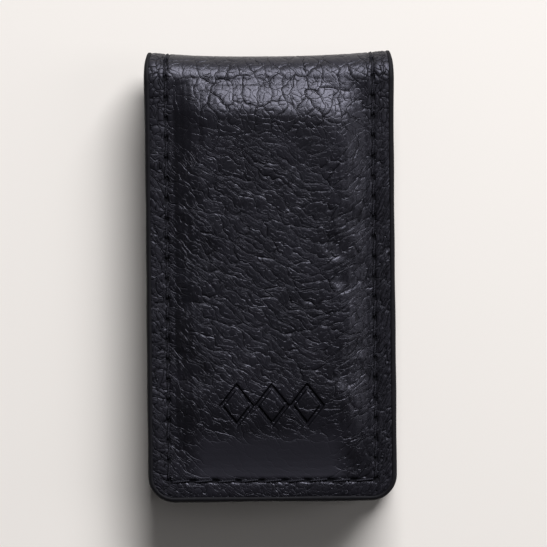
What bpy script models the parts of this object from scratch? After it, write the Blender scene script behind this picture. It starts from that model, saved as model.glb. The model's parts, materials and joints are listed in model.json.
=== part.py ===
"""Magnetic leather money clip, folded over at one end, with a padded arm on each side of the money.

Metres, +Z up. The clip lies on its rear arm: X runs across it, +Y along it towards the fold, and the
origin is the middle of its footprint. The fold is a row of slats that hinge on the leather's neutral line.
"""

import math

import bmesh
import bpy
from mathutils import Matrix, Vector

MM = 0.001

# Driving dimensions
WIDTH = 39.0 * MM                # over the painted edges
LENGTH = 70.0 * MM               # free ends to the outside of the fold
MONEY_GAP = 5.0 * MM             # between the arms' lining faces, holding a folded wad
OUTER_LEATHER = 1.1 * MM
LINING = 0.9 * MM
GLUE_LINE = 0.1 * MM             # cement between bonded layers
CROWN = 1.9 * MM                 # rise of the padded panel above the stitched border
CORNER_RADIUS = 4.0 * MM         # free corners of each arm
EDGE_COAT = 0.3 * MM             # edge paint built up on the cut leather
FOLD_JOINTS = 6                  # hinge lines that share the turn of the fold
SLAT_GAP = 0.12 * MM             # clearance between neighbouring slats

# Padded panel, measured in from the cut edge of the leather
CROWN_INSET = 3.9 * MM           # where the slope starts, just inside the stitching
CROWN_SLOPE = 3.2 * MM
CROWN_CORNER = 4.6 * MM
CROWN_TO_FOLD = 0.6 * MM         # flat leather left between the panel and the fold
CROWN_STEPS = 4
CROWN_TAPER = 9.0 * MM           # how much longer the slope is at the free end
PADDING = 1.8 * MM
PADDING_INSET = 5.2 * MM
PADDING_SKIVE = 2.6 * MM         # width of the padding's thinned rim
MAGNET = Vector((20.0, 10.0, 1.2)) * MM
MAGNET_FROM_END = 21.0 * MM
MAGNET_FIT = 0.2 * MM
MAGNET_EDGE = 0.25 * MM

# Seam
STITCH_INSET = 3.3 * MM          # from the painted edge to the thread
THREAD_RADIUS = 0.2 * MM
THREAD_FIT = 0.07 * MM
THREAD_CORNER = 0.7 * MM
SEAM_SHORT = 0.5 * MM            # thread ends before the first hinge line
NEEDLE_SINK = 0.1 * MM           # thread centre below the outer face
BOBBIN_SINK = 0.3 * MM           # drawn deeper, so it never touches the money

# Section, worked out from the dimensions above
HALF_TURN = math.pi / FOLD_JOINTS / 2
LINING_FACE = MONEY_GAP / 2      # these are distances from the middle of the money gap
LINING_BACK = LINING_FACE + LINING
LEATHER_BACK = LINING_BACK + GLUE_LINE
LEATHER_FACE = LEATHER_BACK + OUTER_LEATHER
NEUTRAL = LINING_BACK + GLUE_LINE / 2
MIDDLE_Z = LEATHER_FACE + CROWN
FREE_END_Y = -LENGTH / 2
FOLD_Y = LENGTH / 2 - LEATHER_FACE
HINGE_RADIUS = NEUTRAL / math.cos(HALF_TURN)
FIRST_HINGE_Y = FOLD_Y + HINGE_RADIUS * math.sin(HALF_TURN)
CUT_WIDTH = WIDTH - 2 * (EDGE_COAT + GLUE_LINE)
CUT_END_Y = FREE_END_Y + EDGE_COAT + GLUE_LINE
CUT_CORNER = CORNER_RADIUS - EDGE_COAT
PANEL_TOP_Y = FOLD_Y - CROWN_TO_FOLD
NEEDLE_PLANE = LEATHER_FACE - NEEDLE_SINK
BOBBIN_PLANE = LINING_FACE + BOBBIN_SINK
MAGNET_CENTRE = Vector((0.0, FREE_END_Y + MAGNET_FROM_END, LEATHER_BACK + PADDING / 2))

FINISHES = {
    # name: (base colour, roughness, metallic)
    "pebbled_leather": ((0.020, 0.019, 0.023), 0.50, 0.0),
    "smooth_leather": ((0.018, 0.017, 0.019), 0.58, 0.0),
    "edge_paint": ((0.010, 0.010, 0.011), 0.30, 0.0),
    "black_thread": ((0.012, 0.012, 0.013), 0.65, 0.0),
    "padding_board": ((0.45, 0.38, 0.30), 0.90, 0.0),
    "nickel_plate": ((0.62, 0.61, 0.59), 0.25, 1.0),
}


# ---------------------------------------------------------------- scene helpers

def clear_scene():
    for obj in list(bpy.data.objects):
        bpy.data.objects.remove(obj)


def make_collection(name):
    collection = bpy.data.collections.new(name)
    bpy.context.scene.collection.children.link(collection)
    return collection


def make_material(name):
    colour, roughness, metallic = FINISHES[name]
    material = bpy.data.materials.new(name)
    material.use_nodes = True
    shader = material.node_tree.nodes["Principled BSDF"]
    shader.inputs["Base Color"].default_value = (*colour, 1.0)
    shader.inputs["Roughness"].default_value = roughness
    shader.inputs["Metallic"].default_value = metallic
    material.diffuse_color = (*colour, 1.0)
    return material


def add_object(name, data, collection, material=None):
    obj = bpy.data.objects.new(name, data)
    collection.objects.link(obj)
    if material is not None:
        data.materials.append(material)
    return obj


def add_block(name, size, centre, collection):
    """Box as a mesh object whose origin stays at the world's."""
    bpy.ops.mesh.primitive_cube_add(size=1.0)
    obj = bpy.context.active_object
    obj.name = name
    obj.data.name = name
    obj.data.transform(Matrix.Translation(centre) @ Matrix.Diagonal((*size, 1.0)))
    for owner in list(obj.users_collection):
        owner.objects.unlink(obj)
    collection.objects.link(obj)
    return obj


def mesh_from(bm, name):
    bmesh.ops.recalc_face_normals(bm, faces=bm.faces)
    mesh = bpy.data.meshes.new(name)
    bm.to_mesh(mesh)
    bm.free()
    return mesh


def bmesh_of_curve(curve):
    """The curve's surface, with its caps welded on."""
    guide = add_object(curve.name, curve, bpy.context.scene.collection)
    bpy.context.view_layer.update()
    graph = bpy.context.evaluated_depsgraph_get()
    mesh = bpy.data.meshes.new_from_object(guide.evaluated_get(graph))
    bpy.data.objects.remove(guide)
    bm = bmesh.new()
    bm.from_mesh(mesh)
    bpy.data.meshes.remove(mesh)
    bmesh.ops.remove_doubles(bm, verts=bm.verts, dist=1e-6)
    return bm


def cut_away(target, cutter, label):
    cutter.hide_render = True
    cutter.display_type = "WIRE"
    cut = target.modifiers.new(label, "BOOLEAN")
    cut.operation = "DIFFERENCE"
    cut.object = cutter


# ---------------------------------------------------------------- outlines

def rounded_free_end(half_width, end_y, top_y, radius, steps):
    """Closed outline of an arm: square at top_y, with a quarter round at each corner of end_y."""
    points = [Vector((half_width, top_y)), Vector((-half_width, top_y))]
    for side, start in ((-1, math.pi), (1, 1.5 * math.pi)):
        centre = Vector((side * (half_width - radius), end_y + radius))
        for i in range(steps + 1):
            angle = start + 0.5 * math.pi * i / steps
            points.append(centre + radius * Vector((math.cos(angle), math.sin(angle))))
    return points


def rounded_rectangle(half_width, low_y, high_y, radius, steps):
    """Closed outline with all four corners rounded."""
    points = []
    for sx, sy, start in ((1, 1, 0.0), (-1, 1, 0.5), (-1, -1, 1.0), (1, -1, 1.5)):
        edge_y = high_y if sy > 0 else low_y
        centre = Vector((sx * (half_width - radius), edge_y - sy * radius))
        for i in range(steps + 1):
            angle = math.pi * (start + 0.5 * i / steps)
            points.append(centre + radius * Vector((math.cos(angle), math.sin(angle))))
    return points


def flat_curve(name, outlines, fill_mode="BOTH"):
    curve = bpy.data.curves.new(name, "CURVE")
    curve.dimensions = "2D"
    curve.fill_mode = fill_mode
    for outline in outlines:
        spline = curve.splines.new("POLY")
        spline.points.add(len(outline) - 1)
        for point, place in zip(spline.points, outline):
            point.co = (place.x, place.y, 0.0, 1.0)
        spline.use_cyclic_u = True
    return curve


# ---------------------------------------------------------------- joints and placing

def add_joints(parts):
    """One empty on each hinge line of the fold, each carried by the one before; fold_joint_1 is first."""
    joints = []
    for i in range(FOLD_JOINTS):
        turn = HALF_TURN * (2 * i + 1)
        joint = add_object(f"fold_joint_{i + 1}", None, parts)
        joint.empty_display_type = "SINGLE_ARROW"
        joint.empty_display_size = NEUTRAL
        joint.location = (0.0, FOLD_Y + HINGE_RADIUS * math.sin(turn),
                          MIDDLE_Z - HINGE_RADIUS * math.cos(turn))
        carry(joint, joints[-1] if joints else None)
        joints.append(joint)
    return joints


def carry(obj, joint):
    """Hang the object on a joint without moving it from its place in the world."""
    bpy.context.view_layer.update()
    if joint is not None:
        obj.parent = joint
        obj.matrix_parent_inverse = joint.matrix_world.inverted()


def seat(obj, arm, joints):
    """Put a piece of an arm in its place.

    An arm's pieces are built with z as the distance outwards from the middle of the money gap. The
    front arm keeps that, above the gap. The rear arm is turned over, below it.
    """
    obj.location = (0.0, 0.0, MIDDLE_Z)
    if arm == "rear":
        obj.rotation_euler.y = math.pi
    else:
        carry(obj, joints[-1])
    return obj


# ---------------------------------------------------------------- seam

def seam_path(distance, past_fold=0.0):
    """U-shaped run of the seam at a distance from the middle of the gap: down, across and up."""
    half = WIDTH / 2 - STITCH_INSET
    end = FREE_END_Y + STITCH_INSET
    top = FIRST_HINGE_Y - SEAM_SHORT + past_fold
    path = [Vector((-half, top, distance))]
    for side, start in ((-1, 1.0), (1, 1.5)):
        centre = Vector((side * (half - THREAD_CORNER), end + THREAD_CORNER, distance))
        for i in range(3):
            angle = math.pi * (start + 0.25 * i)
            path.append(centre + THREAD_CORNER * Vector((math.cos(angle), math.sin(angle), 0.0)))
    path.append(Vector((half, top, distance)))
    return path


def tube_mesh(name, points, radius):
    curve = bpy.data.curves.new(name, "CURVE")
    curve.dimensions = "3D"
    curve.bevel_depth = radius
    curve.bevel_resolution = 1
    curve.use_fill_caps = True
    spline = curve.splines.new("POLY")
    spline.points.add(len(points) - 1)
    for point, place in zip(spline.points, points):
        point.co = (*place, 1.0)
    return mesh_from(bmesh_of_curve(curve), name)


def thread(arm, name, distance, parts, material):
    mesh = tube_mesh(f"{arm}_{name}", seam_path(distance), THREAD_RADIUS)
    return add_object(mesh.name, mesh, parts, material)


def groove(arm, target, distance, cutters):
    """Channel that the seam is drawn into; it runs out at the fold end of the arm."""
    path = seam_path(distance, past_fold=2 * SEAM_SHORT)
    mesh = tube_mesh(target.name + "_groove", path, THREAD_RADIUS + THREAD_FIT)
    cutter = add_object(mesh.name, mesh, cutters)
    cut_away(target, cutter, "stitch_groove")
    return cutter


# ---------------------------------------------------------------- pieces of an arm

def arm_outline(half_width, end_y, top_y, radius):
    return rounded_free_end(half_width, end_y, top_y, radius, 5)


def crown_rise(share):
    """Share of the crown's rise at a share of its slope's width."""
    return 0.5 - 0.5 * math.cos(math.pi * share)


def taper_end(bm, base, rise):
    """Draws what is raised above base back from the free end, the more the higher it is."""
    for vert in bm.verts:
        if vert.co.y < 0:
            vert.co.y += CROWN_TAPER * max(0.0, vert.co.z - base) / rise


def outer_leather(arm, parts, material):
    """Flat border with the padded panel raised from it, as one skin given its thickness."""
    border = arm_outline(CUT_WIDTH / 2, CUT_END_Y, FIRST_HINGE_Y - SLAT_GAP / 2, CUT_CORNER)
    half_panel = CUT_WIDTH / 2 - CROWN_INSET
    panel = rounded_rectangle(half_panel, CUT_END_Y + CROWN_INSET, PANEL_TOP_Y, CROWN_CORNER, 5)
    name = arm + "_outer_leather"
    bm = bmesh_of_curve(flat_curve(name, [border, panel]))
    rim = [e for e in bm.edges if e.is_boundary and all(abs(v.co.x) < half_panel + GLUE_LINE
                                                        and v.co.y < PANEL_TOP_Y + GLUE_LINE
                                                        for v in e.verts)
           and min(v.co.y for v in e.verts) > CUT_END_Y + CROWN_INSET / 2]
    top = bmesh.ops.contextual_create(bm, geom=rim)["faces"]
    bmesh.ops.recalc_face_normals(bm, faces=bm.faces)
    if top[0].normal.z < 0:
        bmesh.ops.reverse_faces(bm, faces=bm.faces)
    for i in range(CROWN_STEPS):
        rise = CROWN * (crown_rise((i + 1) / CROWN_STEPS) - crown_rise(i / CROWN_STEPS))
        bmesh.ops.inset_region(bm, faces=top, thickness=CROWN_SLOPE / CROWN_STEPS, use_even_offset=True)
        bmesh.ops.translate(bm, vec=(0.0, 0.0, rise), verts=top[0].verts)
    taper_end(bm, 0.0, CROWN)
    bmesh.ops.translate(bm, vec=(0.0, 0.0, LEATHER_FACE), verts=bm.verts)
    mesh = bpy.data.meshes.new(name)
    bm.to_mesh(mesh)
    bm.free()

    obj = add_object(name, mesh, parts, material)
    thickness = obj.modifiers.new("leather_thickness", "SOLIDIFY")
    thickness.thickness = OUTER_LEATHER
    thickness.offset = -1.0
    return obj


def lining(arm, parts, material):
    top_y = FOLD_Y + LINING_FACE * math.tan(HALF_TURN) - SLAT_GAP / 2
    name = arm + "_lining"
    curve = flat_curve(name, [arm_outline(CUT_WIDTH / 2, CUT_END_Y, top_y, CUT_CORNER)])
    curve.extrude = LINING / 2
    bm = bmesh_of_curve(curve)
    bmesh.ops.translate(bm, vec=(0.0, 0.0, LINING_FACE + LINING / 2), verts=bm.verts)
    return add_object(name, mesh_from(bm, name), parts, material)


def padding(arm, parts, material):
    """Board with a thinned rim; its window for the magnet is cut by the caller."""
    outline = rounded_rectangle(CUT_WIDTH / 2 - PADDING_INSET, CUT_END_Y + PADDING_INSET,
                                PANEL_TOP_Y - (PADDING_INSET - CROWN_INSET), CROWN_CORNER, 4)
    bm = bmesh.new()
    base = bm.faces.new([bm.verts.new((p.x, p.y, LEATHER_BACK)) for p in outline])
    copy = bmesh.ops.duplicate(bm, geom=[base])["geom"]
    top = [f for f in copy if isinstance(f, bmesh.types.BMFace)]
    bmesh.ops.inset_region(bm, faces=top, thickness=PADDING_SKIVE, use_boundary=True,
                           use_even_offset=True)
    bmesh.ops.translate(bm, vec=(0.0, 0.0, PADDING), verts=top[0].verts)
    taper_end(bm, LEATHER_BACK, PADDING)
    bmesh.ops.remove_doubles(bm, verts=bm.verts, dist=1e-6)
    return add_object(arm + "_padding", mesh_from(bm, arm + "_padding"), parts, material)


def magnet(arm, parts, material):
    obj = add_block(arm + "_magnet", MAGNET, MAGNET_CENTRE, parts)
    obj.data.materials.append(material)
    rounding = obj.modifiers.new("plated_edges", "BEVEL")
    rounding.width = MAGNET_EDGE
    rounding.segments = 2
    return obj


def magnet_window(arm, target, cutters):
    size = MAGNET + Vector((2 * MAGNET_FIT, 2 * MAGNET_FIT, 2 * PADDING))
    cutter = add_block(arm + "_magnet_window", size, MAGNET_CENTRE, cutters)
    cut_away(target, cutter, "magnet_window")
    return cutter


def edge_coat(arm, parts, material):
    """U-shaped bead of edge paint round the cut edges of the two leathers."""
    outline = rounded_free_end(WIDTH / 2 - EDGE_COAT / 2, FREE_END_Y + EDGE_COAT / 2,
                               FIRST_HINGE_Y - SLAT_GAP / 2, CORNER_RADIUS, 6)
    run = outline[1:] + outline[:1]
    bm = bmesh.new()
    verts = [bm.verts.new((p.x, p.y, LINING_FACE)) for p in run]
    edges = [bm.edges.new(pair) for pair in zip(verts, verts[1:])]
    raised = bmesh.ops.extrude_edge_only(bm, edges=edges)["geom"]
    bmesh.ops.translate(bm, vec=(0.0, 0.0, LEATHER_FACE - LINING_FACE),
                        verts=[v for v in raised if isinstance(v, bmesh.types.BMVert)])
    obj = add_object(arm + "_edge_coat", mesh_from(bm, arm + "_edge_coat"), parts, material)
    wall = obj.modifiers.new("coat_thickness", "SOLIDIFY")
    wall.thickness = EDGE_COAT
    wall.offset = 0.0
    wall.use_even_offset = True
    return obj


def build_arm(arm, parts, cutters, materials, joints):
    leather = outer_leather(arm, parts, materials["pebbled_leather"])
    back = lining(arm, parts, materials["smooth_leather"])
    board = padding(arm, parts, materials["padding_board"])
    pieces = [
        leather, back, board,
        magnet(arm, parts, materials["nickel_plate"]),
        edge_coat(arm, parts, materials["edge_paint"]),
        thread(arm, "needle_thread", NEEDLE_PLANE, parts, materials["black_thread"]),
        thread(arm, "bobbin_thread", BOBBIN_PLANE, parts, materials["black_thread"]),
        groove(arm, leather, NEEDLE_PLANE, cutters),
        groove(arm, back, BOBBIN_PLANE, cutters),
        magnet_window(arm, board, cutters),
    ]
    for piece in pieces:
        seat(piece, arm, joints)


# ---------------------------------------------------------------- fold

def slat(name, inner, outer, turn, parts, material):
    """Bar across the clip with a four-sided section, turned about the middle of the fold.

    inner and outer are each a distance from the fold's middle and the bar's width there. Its z points
    away from the middle, which with no turn is straight down.
    """
    size = Vector((CUT_WIDTH, 1.0, outer[0] - inner[0]))
    obj = add_block(name, size, Vector((0.0, 0.0, (inner[0] + outer[0]) / 2)), parts)
    for vertex in obj.data.vertices:
        width = outer[1] if vertex.co.z > (inner[0] + outer[0]) / 2 else inner[1]
        vertex.co.y *= width
    obj.location = (0.0, FOLD_Y, MIDDLE_Z)
    obj.rotation_euler.x = math.pi + turn
    obj.data.materials.append(material)
    return obj


def build_fold(parts, materials, joints):
    pitch = 2 * math.tan(HALF_TURN)
    flat_width = NEUTRAL * pitch - SLAT_GAP
    for i, joint in enumerate(joints[:-1], start=1):
        turn = 2 * HALF_TURN * i
        outer = slat(f"fold_{i}_outer_leather", (LEATHER_BACK, flat_width), (LEATHER_FACE, flat_width),
                     turn, parts, materials["pebbled_leather"])
        inner = slat(f"fold_{i}_lining", (LINING_FACE, LINING_FACE * pitch - SLAT_GAP),
                     (LINING_BACK, LINING_BACK * pitch - SLAT_GAP),
                     turn, parts, materials["smooth_leather"])
        carry(outer, joint)
        carry(inner, joint)


def main():
    clear_scene()
    parts = make_collection("money_clip")
    cutters = make_collection("cutters")
    materials = {name: make_material(name) for name in FINISHES}
    joints = add_joints(parts)
    for arm in ("rear", "front"):
        build_arm(arm, parts, cutters, materials, joints)
    build_fold(parts, materials, joints)


main()
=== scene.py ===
import json
import math

import bmesh
import bpy
import numpy as np
from bpy.props import FloatProperty, FloatVectorProperty, IntProperty, PointerProperty
from bpy.types import Operator, Panel, PropertyGroup
from mathutils import Euler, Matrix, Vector

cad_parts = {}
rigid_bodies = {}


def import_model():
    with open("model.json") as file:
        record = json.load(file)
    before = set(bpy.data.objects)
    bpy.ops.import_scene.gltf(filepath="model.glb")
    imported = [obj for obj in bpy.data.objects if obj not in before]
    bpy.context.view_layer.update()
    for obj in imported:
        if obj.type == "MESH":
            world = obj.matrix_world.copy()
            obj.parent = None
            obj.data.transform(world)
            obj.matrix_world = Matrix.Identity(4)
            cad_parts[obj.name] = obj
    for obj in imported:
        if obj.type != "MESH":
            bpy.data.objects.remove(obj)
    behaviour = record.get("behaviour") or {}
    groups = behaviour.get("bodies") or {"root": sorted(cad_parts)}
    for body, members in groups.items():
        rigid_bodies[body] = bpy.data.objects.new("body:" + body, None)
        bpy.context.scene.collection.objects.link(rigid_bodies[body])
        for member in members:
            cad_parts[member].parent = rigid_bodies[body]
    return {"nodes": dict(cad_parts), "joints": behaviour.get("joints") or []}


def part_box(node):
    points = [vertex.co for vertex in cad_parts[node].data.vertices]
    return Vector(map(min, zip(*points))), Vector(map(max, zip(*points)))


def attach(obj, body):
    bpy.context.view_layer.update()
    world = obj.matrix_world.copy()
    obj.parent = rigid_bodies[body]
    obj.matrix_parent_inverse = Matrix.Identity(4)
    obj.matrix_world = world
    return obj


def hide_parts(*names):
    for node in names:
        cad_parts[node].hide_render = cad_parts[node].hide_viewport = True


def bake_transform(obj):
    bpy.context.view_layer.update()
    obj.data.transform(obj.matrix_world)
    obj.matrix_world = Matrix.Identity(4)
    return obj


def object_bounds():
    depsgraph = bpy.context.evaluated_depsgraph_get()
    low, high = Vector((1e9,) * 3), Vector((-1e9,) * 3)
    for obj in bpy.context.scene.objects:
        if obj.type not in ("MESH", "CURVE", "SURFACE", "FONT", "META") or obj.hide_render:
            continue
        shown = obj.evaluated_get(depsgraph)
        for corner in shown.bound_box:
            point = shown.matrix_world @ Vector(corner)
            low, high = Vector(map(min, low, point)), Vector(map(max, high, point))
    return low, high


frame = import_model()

bl_info = {
    "name": "Leather Money Clip",
    "version": (1, 0, 0),
    "blender": (4, 5, 0),
    "location": "3D View > Sidebar > Money Clip",
    "description": "Pads, folds, stitches and edge-paints a magnetic leather money clip",
    "category": "Object",
}

MM = 0.001
CAD_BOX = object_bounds()

# The leather is worked flat and then folded over. On the flat, across is X, along runs from the front
# arm's free end (negative) over the fold (0) to the rear arm's, and out is the distance from the middle
# of the money gap.
MIDDLE_Z = (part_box("rear_lining")[1].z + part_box("front_lining")[0].z) / 2
LINING_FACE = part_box("front_lining")[0].z - MIDDLE_Z
LINING_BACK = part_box("front_lining")[1].z - MIDDLE_Z
LEATHER_BACK = LINING_BACK + 0.1 * MM
LEATHER_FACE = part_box("front_edge_coat")[1].z - MIDDLE_Z
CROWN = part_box("front_outer_leather")[1].z - MIDDLE_Z - LEATHER_FACE
HALF_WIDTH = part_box("front_edge_coat")[1].x
CUT_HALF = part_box("front_outer_leather")[1].x
COAT = HALF_WIDTH - CUT_HALF
END_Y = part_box("front_edge_coat")[0].y
FOLD_Y = max(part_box(name)[1].y for name in frame["nodes"]) - LEATHER_FACE
QUARTER = LEATHER_FACE * math.pi / 2            # from the fold's middle to where an arm starts
CUT_ALONG = QUARTER + FOLD_Y - END_Y - COAT     # from the fold's middle to the cut free end
CORNER = 3.7 * MM                               # radius of the free ends' corners
SEAM_INSET = 3.3 * MM
SEAM_ACROSS = HALF_WIDTH - SEAM_INSET
SEAM_ALONG = CUT_ALONG + COAT - SEAM_INSET
JOINTS = frame["joints"]
STRIPS = len(JOINTS)
BODIES = [JOINTS[0]["parent"]] + [joint["child"] for joint in JOINTS]     # rear arm to front arm
STRIP_ALONG = 2 * QUARTER / STRIPS

# how the leather lies over the padding, along the seam and at its edges
CROWN_INSET = 3.9 * MM
EDGE_ROLL = 0.28 * MM
EDGE_ROLL_WIDE = 1.2 * MM
GROOVE = 0.10 * MM
GROOVE_WIDE = 0.42 * MM
HOLE = 0.38 * MM
HOLE_LONG = 0.75 * MM
HOLE_WIDE = 0.24 * MM
HOLE_DARK = 1.25                    # width of a hole's mark (its dent, its roughness and its painted shade), for the hole's own
CROWN_PAST_FOLD = 0.8 * MM
CROWN_SKEW = 0.25
CROWN_FLATTENED = 0.14
CROWN_POWER = 1.35

# how the fold's sides spread and draw in
FLARE_AT = 5.2 * MM
FLARE_LONG = 3.6 * MM
FLARE = 0.10 * MM
SADDLE_SINK = 0.1 * MM

# the swelling of the leather over the padding
CLOTH_STEP = 1.0 * MM
CLOTH_SCALE = 20.0                  # the cloth is worked larger, where the solver is at home
CLOTH_FRAMES = 20
CLOTH_SEWN = 0.02 * MM
CLOTH_CAP = 0.18 * MM
CLOTH_START = 0.9
CLOTH_PRESSURE = 0.35


# ---------------------------------------------------------------- settings

class MoneyClipLeather(PropertyGroup):
    colour: FloatVectorProperty(
        name="Leather colour", description="Dyed colour of the pebbled leather",
        subtype="COLOR", default=(0.0050, 0.0048, 0.0068), min=0.0, max=1.0)
    grid: FloatProperty(
        name="Grid", description="Spacing of the pebbled leather's mesh",
        default=0.20 * MM, min=0.1 * MM, unit="LENGTH", precision=5)
    pebble: FloatProperty(
        name="Pebble", description="Width of a pebble of the grain across its creases",
        default=1.45 * MM, min=0.3 * MM, unit="LENGTH", precision=5)
    crease: FloatProperty(
        name="Crease depth", description="Depth of the main creases between pebbles",
        default=0.07 * MM, min=0.0, unit="LENGTH", precision=5)
    side_slope: FloatProperty(
        name="Side slope", description="Width of the padded panel's slope beside the stitching",
        default=4.4 * MM, min=0.5 * MM, unit="LENGTH", precision=5)
    end_slope: FloatProperty(
        name="End slope", description="Length of the padded panel's slope at the free end",
        default=14.0 * MM, min=0.5 * MM, unit="LENGTH", precision=5)
    fold_slope: FloatProperty(
        name="Fold slope", description="Length over which the padded panel runs out into the fold",
        default=6.4 * MM, min=0.5 * MM, unit="LENGTH", precision=5)
    saddle: FloatProperty(
        name="Saddle", description="How far the fold's corners stand out past its middle",
        default=0.85 * MM, min=0.0, unit="LENGTH", precision=5)
    pinch: FloatProperty(
        name="Pinch", description="How much each side draws in at the turn of the fold",
        default=0.35 * MM, min=0.0, unit="LENGTH", precision=5)


class MoneyClipSeam(PropertyGroup):
    side_stitches: IntProperty(
        name="Side stitches", description="Stitches from one free end over the fold to the other",
        default=44, min=4)
    end_stitches: IntProperty(
        name="End stitches", description="Stitches across each free end", default=9, min=1)
    thread: FloatProperty(
        name="Thread", description="Diameter of the sewing thread",
        default=0.36 * MM, min=0.05 * MM, unit="LENGTH", precision=5)
    slant: FloatProperty(
        name="Slant", description="Angle of each stitch to the seam",
        default=math.radians(5.0), subtype="ANGLE")


class MoneyClipStage(PropertyGroup):
    floor: FloatVectorProperty(
        name="Floor colour", description="Colour of the plain floor",
        subtype="COLOR", default=(0.88, 0.845, 0.82), min=0.0, max=1.0)
    height: FloatProperty(
        name="Camera height", description="Height of the camera above the floor",
        default=0.80, min=0.1, unit="LENGTH")
    field: FloatProperty(
        name="Field", description="Width of the view at the front arm",
        default=85.4 * MM, min=0.01, unit="LENGTH", precision=4)
    roll: FloatProperty(
        name="Roll", description="Turn of the clip in the view",
        default=math.radians(0.55), subtype="ANGLE")
    key: FloatProperty(
        name="Key light", description="Power of the key light", default=17.3, min=0.0, unit="POWER")
    fill: FloatProperty(
        name="Fill light", description="Strength of the pale surround", default=0.058, min=0.0)


# ---------------------------------------------------------------- node expressions

class Wire:
    """An output socket that can stand in sums; each sum adds its Math node."""

    def __init__(self, graph, socket):
        self.graph = graph
        self.socket = socket

    def math(self, operation, *values):
        return self.graph.add("ShaderNodeMath", {"operation": operation}, dict(enumerate(values)))

    def __add__(self, other):
        return self.math("ADD", self, other)

    def __sub__(self, other):
        return self.math("SUBTRACT", self, other)

    def __rsub__(self, other):
        return self.math("SUBTRACT", other, self)

    def __mul__(self, other):
        return self.math("MULTIPLY", self, other)

    def __truediv__(self, other):
        return self.math("DIVIDE", self, other)

    def __abs__(self):
        return self.math("ABSOLUTE", self)

    __radd__ = __add__
    __rmul__ = __mul__

    def above(self, floor):
        return self.math("MAXIMUM", self, floor)

    def below(self, ceiling):
        return self.math("MINIMUM", self, ceiling)

    def rounded(self):
        return self.math("ROUND", self)

    def step(self, low, high):
        """0 up to low, 1 from high on, and smooth between; low may be the larger."""
        return self.graph.add("ShaderNodeMapRange", {"interpolation_type": "SMOOTHSTEP"},
                              {"Value": self, "From Min": low, "From Max": high})


class Graph:
    """Adds nodes to a shader's or a geometry's tree."""

    def __init__(self, tree):
        self.tree = tree

    def add(self, kind, settings=None, sockets=None, output=0):
        node = self.tree.nodes.new(kind)
        for name, value in (settings or {}).items():
            setattr(node, name, value)
        for name, value in (sockets or {}).items():
            socket = node.inputs[name]
            if isinstance(value, Wire):
                self.tree.links.new(value.socket, socket)
            elif isinstance(value, tuple) and len(value) == 3 and len(socket.default_value) == 4:
                socket.default_value = (*value, 1.0)
            else:
                socket.default_value = value
        return Wire(self, node.outputs[output])

    def parts(self, vector):
        split = self.add("ShaderNodeSeparateXYZ", sockets={0: vector})
        return [Wire(self, output) for output in split.socket.node.outputs]

    def vector(self, x, y, z=0.0):
        return self.add("ShaderNodeCombineXYZ", sockets={0: x, 1: y, 2: z})

    def noise(self, place, scale, detail=2.0, output=0):
        return self.add("ShaderNodeTexNoise", None,
                        {"Vector": place, "Scale": scale, "Detail": detail}, output)

    def cell_edge(self, place):
        """Distance to the nearest edge in a net of irregular cells, one unit across."""
        return self.add("ShaderNodeTexVoronoi",
                        {"voronoi_dimensions": "2D", "feature": "DISTANCE_TO_EDGE"},
                        {"Vector": place, "Scale": 1.0, "Randomness": 1.0})

    def mix(self, factor, first, second):
        """Number from first, at factor 0, to second, at factor 1."""
        return self.add("ShaderNodeMix", {"data_type": "FLOAT"}, {0: factor, 2: first, 3: second})

    def blend(self, factor, first, second):
        """Colour from first, at factor 0, to second, at factor 1."""
        return self.add("ShaderNodeMix", {"data_type": "RGBA"}, {0: factor, 6: first, 7: second}, 2)


class Finish(Graph):
    """A new material and the graph of its nodes, which reads the flat place in millimetres."""

    def __init__(self, name):
        self.material = bpy.data.materials.new(name)
        self.material.use_nodes = True
        super().__init__(self.material.node_tree)
        self.shader = next(n for n in self.tree.nodes if n.type == "BSDF_PRINCIPLED")
        self.material.diffuse_color = (0.02, 0.02, 0.025, 1.0)

    def flat(self):
        """(across, along) on the unfolded leather, in millimetres."""
        place = self.add("ShaderNodeUVMap", {"uv_map": "flat"})
        across, along, _ = self.parts(place)
        return across / MM, along / MM

    def place(self):
        """The place in the object, in millimetres."""
        spot = self.add("ShaderNodeTexCoord", output=3)
        return self.add("ShaderNodeVectorMath", {"operation": "SCALE"}, {0: spot, "Scale": 1 / MM})

    def surface(self, colour, roughness, height=None, **constants):
        """Joins the shader's varying sockets; height is in metres."""
        sockets = self.shader.inputs
        for name, value in {"Base Color": colour, "Roughness": roughness}.items():
            if isinstance(value, Wire):
                self.tree.links.new(value.socket, sockets[name])
            else:
                sockets[name].default_value = (*value, 1.0) if name == "Base Color" else value
        for name, value in constants.items():
            sockets[name.replace("_", " ")].default_value = value
        if height:
            bump = self.add("ShaderNodeBump", None, {"Distance": 1.0, "Height": height})
            self.tree.links.new(bump.socket, sockets["Normal"])
        return self.material


# ---------------------------------------------------------------- grain of the leather

# the blind stamp, in millimetres on the flat leather, but for its depth
STAMP_ALONG = -(CUT_ALONG - 14.7 * MM) / MM
STAMP_PITCH = 5.5
STAMP_WIDE = 2.35
STAMP_TALL = 3.0
STAMP_LINE = 0.42
STAMP_SLANT = 0.79              # turns a step across a diamond into one square to its sides
STAMP_DEPTH = 0.24 * MM

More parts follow.
